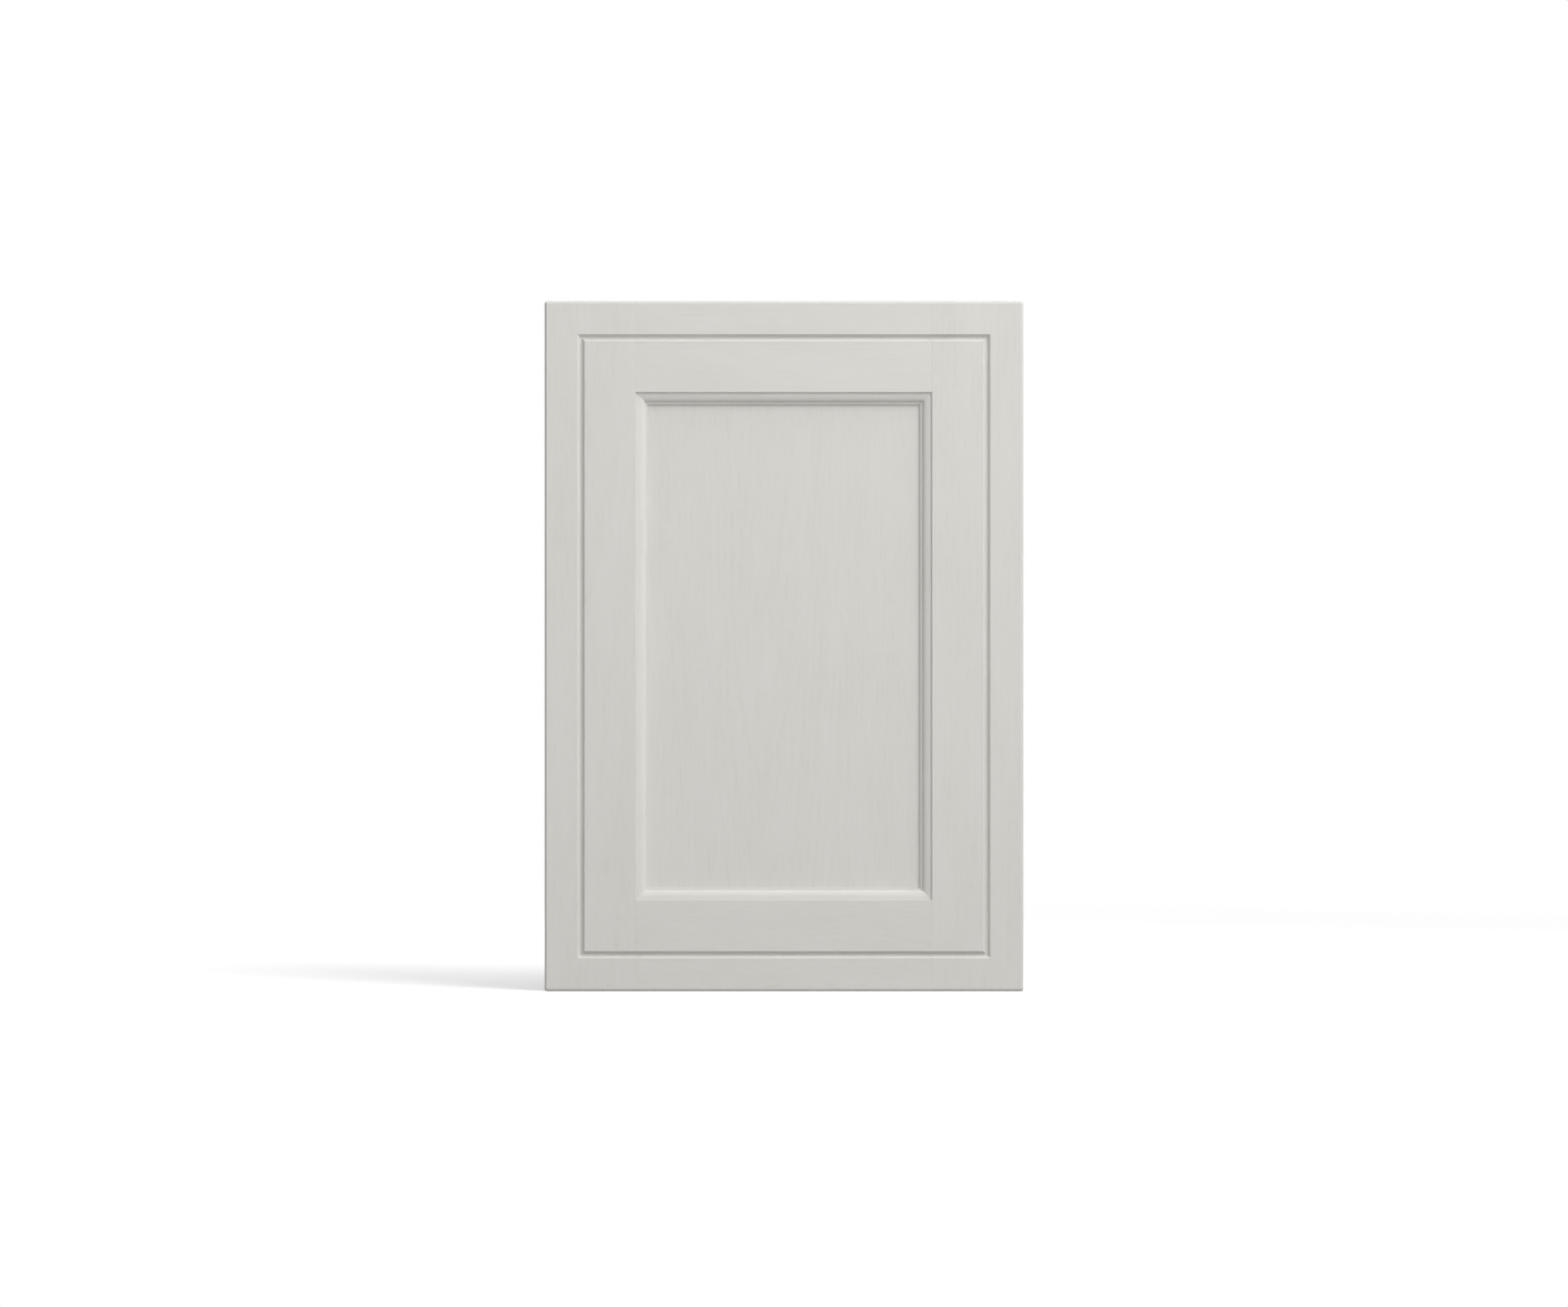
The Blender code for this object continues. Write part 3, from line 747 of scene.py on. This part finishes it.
# The studio: a pale floor, a pale room that the camera and any gloss see as white, and large soft lamps. To
# the door itself the room is only a weak even light. The floor keeps the door's shadow within about a metre
# of it, and fades to plain white further off, where the lamps would leave it grey.

ROOM_LIGHT = 0.251
FLOOR_HALF = 30
FLOOR_SEEN = 0.9  # the share of the lamps' light that the camera sees
FLOOR_GLOW = 0.16  # added to it, so that the shadow stays pale
FLOOR_FOR_LIGHT = 0.35  # the share that goes back to the door
FLOOR_FADE = (1.2, 2.2)  # the distances over which the floor turns plain white


def seen_rays(tree):
    """A socket that is 1 for rays from the camera, from gloss and through glass, and 0 for the others."""
    path = tree.nodes.new("ShaderNodeLightPath")
    seen = path.outputs["Is Camera Ray"]
    for kind in ("Is Glossy Ray", "Is Transmission Ray"):
        seen = add_node(
            tree, "ShaderNodeMath", {0: seen, 1: path.outputs[kind]}, operation="MAXIMUM"
        ).outputs[0]
    return seen


floor_mesh = bpy.data.meshes.new("floor")
corners = [(-1, -1), (1, -1), (1, 1), (-1, 1)]
floor_mesh.from_pydata([(FLOOR_HALF * x, FLOOR_HALF * y, 0) for x, y in corners], [], [(0, 1, 2, 3)])
floor = bpy.data.objects.new("floor", floor_mesh)
bpy.context.scene.collection.objects.link(floor)
pale_floor = bpy.data.materials.new("pale_floor")
pale_floor.use_nodes = True
tree = pale_floor.node_tree
tree.nodes.clear()
place = tree.nodes.new("ShaderNodeTexCoord")
distance = add_node(tree, "ShaderNodeVectorMath", {0: place.outputs["Object"]}, operation="LENGTH")
fade = add_node(
    tree, "ShaderNodeMapRange",
    {"Value": distance.outputs["Value"], "From Min": FLOOR_FADE[0], "From Max": FLOOR_FADE[1]},
    interpolation_type="SMOOTHSTEP",
)
board = add_node(tree, "ShaderNodeBsdfDiffuse", {"Color": (FLOOR_SEEN, FLOOR_SEEN, FLOOR_SEEN, 1)})
glow = add_node(tree, "ShaderNodeEmission", {"Strength": FLOOR_GLOW})
near_floor = add_node(tree, "ShaderNodeAddShader", {0: board.outputs[0], 1: glow.outputs[0]})
far_floor = add_node(tree, "ShaderNodeEmission", {"Strength": 1.0})
seen_floor = add_node(
    tree, "ShaderNodeMixShader", {0: fade.outputs[0], 1: near_floor.outputs[0], 2: far_floor.outputs[0]}
)
floor_for_light = add_node(
    tree, "ShaderNodeBsdfDiffuse", {"Color": (FLOOR_FOR_LIGHT, FLOOR_FOR_LIGHT, FLOOR_FOR_LIGHT, 1)}
)
choice = add_node(
    tree, "ShaderNodeMixShader",
    {0: seen_rays(tree), 1: floor_for_light.outputs[0], 2: seen_floor.outputs[0]},
)
add_node(tree, "ShaderNodeOutputMaterial", {"Surface": choice.outputs[0]})
floor.data.materials.append(pale_floor)

room = bpy.data.worlds.new("pale_room")
room.use_nodes = True
tree = room.node_tree
weak = tree.nodes["Background"]
weak.inputs["Color"].default_value = (1, 1, 1, 1)
weak.inputs["Strength"].default_value = ROOM_LIGHT
white = add_node(tree, "ShaderNodeBackground", {"Color": (1, 1, 1, 1)})
choice = add_node(
    tree, "ShaderNodeMixShader", {0: seen_rays(tree), 1: weak.outputs[0], 2: white.outputs[0]}
)
tree.links.new(choice.outputs[0], tree.nodes["World Output"].inputs["Surface"])
bpy.context.scene.world = room

# Each lamp's turn and height in degrees, its distance and size in metres, and its power in watts
LAMPS = (
    ("key_lamp", 45, 35, 4.2, 2.4, 108),
    ("side_lamp", 63, 45, 4.2, 2.4, 47.3),
    ("top_lamp", 20, 70, 4.2, 2.4, 41.5),
    ("front_lamp", -10, 10, 2.2, 1.0, 12.2),
    ("back_lamp", -140, 20, 3.2, 1.8, 50),
)


def soft_lamp(name, turn, height, distance, size, power):
    """A square lamp that faces the door's middle, turned to the right of its front and raised, in degrees."""
    turn, height = math.radians(turn), math.radians(height)
    middle = Vector((0, -DOOR_THICKNESS / 2, DOOR_HEIGHT / 2))
    level = math.cos(height)
    toward = Vector((math.sin(turn) * level, -math.cos(turn) * level, math.sin(height)))
    light = bpy.data.lights.new(name, "AREA")
    light.shape = "SQUARE"
    light.size = size
    light.energy = power
    lamp = bpy.data.objects.new(name, light)
    lamp.location = middle + toward * distance
    lamp.rotation_euler = (-toward).to_track_quat("-Z", "Y").to_euler()
    bpy.context.scene.collection.objects.link(lamp)


for lamp in LAMPS:
    soft_lamp(*lamp)


# The camera: a long lens straight in front of the door, level, and a few millimetres below its middle.

CAMERA_DISTANCE = 6.0
VIEW_WIDTH = 1.6235  # at the door's face
CAMERA_PLACE = (0, -DOOR_THICKNESS / 2 - CAMERA_DISTANCE, 0.3499)

camera = bpy.data.cameras.new("camera")
camera.lens = camera.sensor_width * CAMERA_DISTANCE / VIEW_WIDTH
camera_object = bpy.data.objects.new("camera", camera)
camera_object.location = CAMERA_PLACE
camera_object.rotation_euler = (math.radians(90), 0, 0)
bpy.context.scene.collection.objects.link(camera_object)
bpy.context.scene.camera = camera_object
bpy.context.scene.view_settings.view_transform = "Standard"
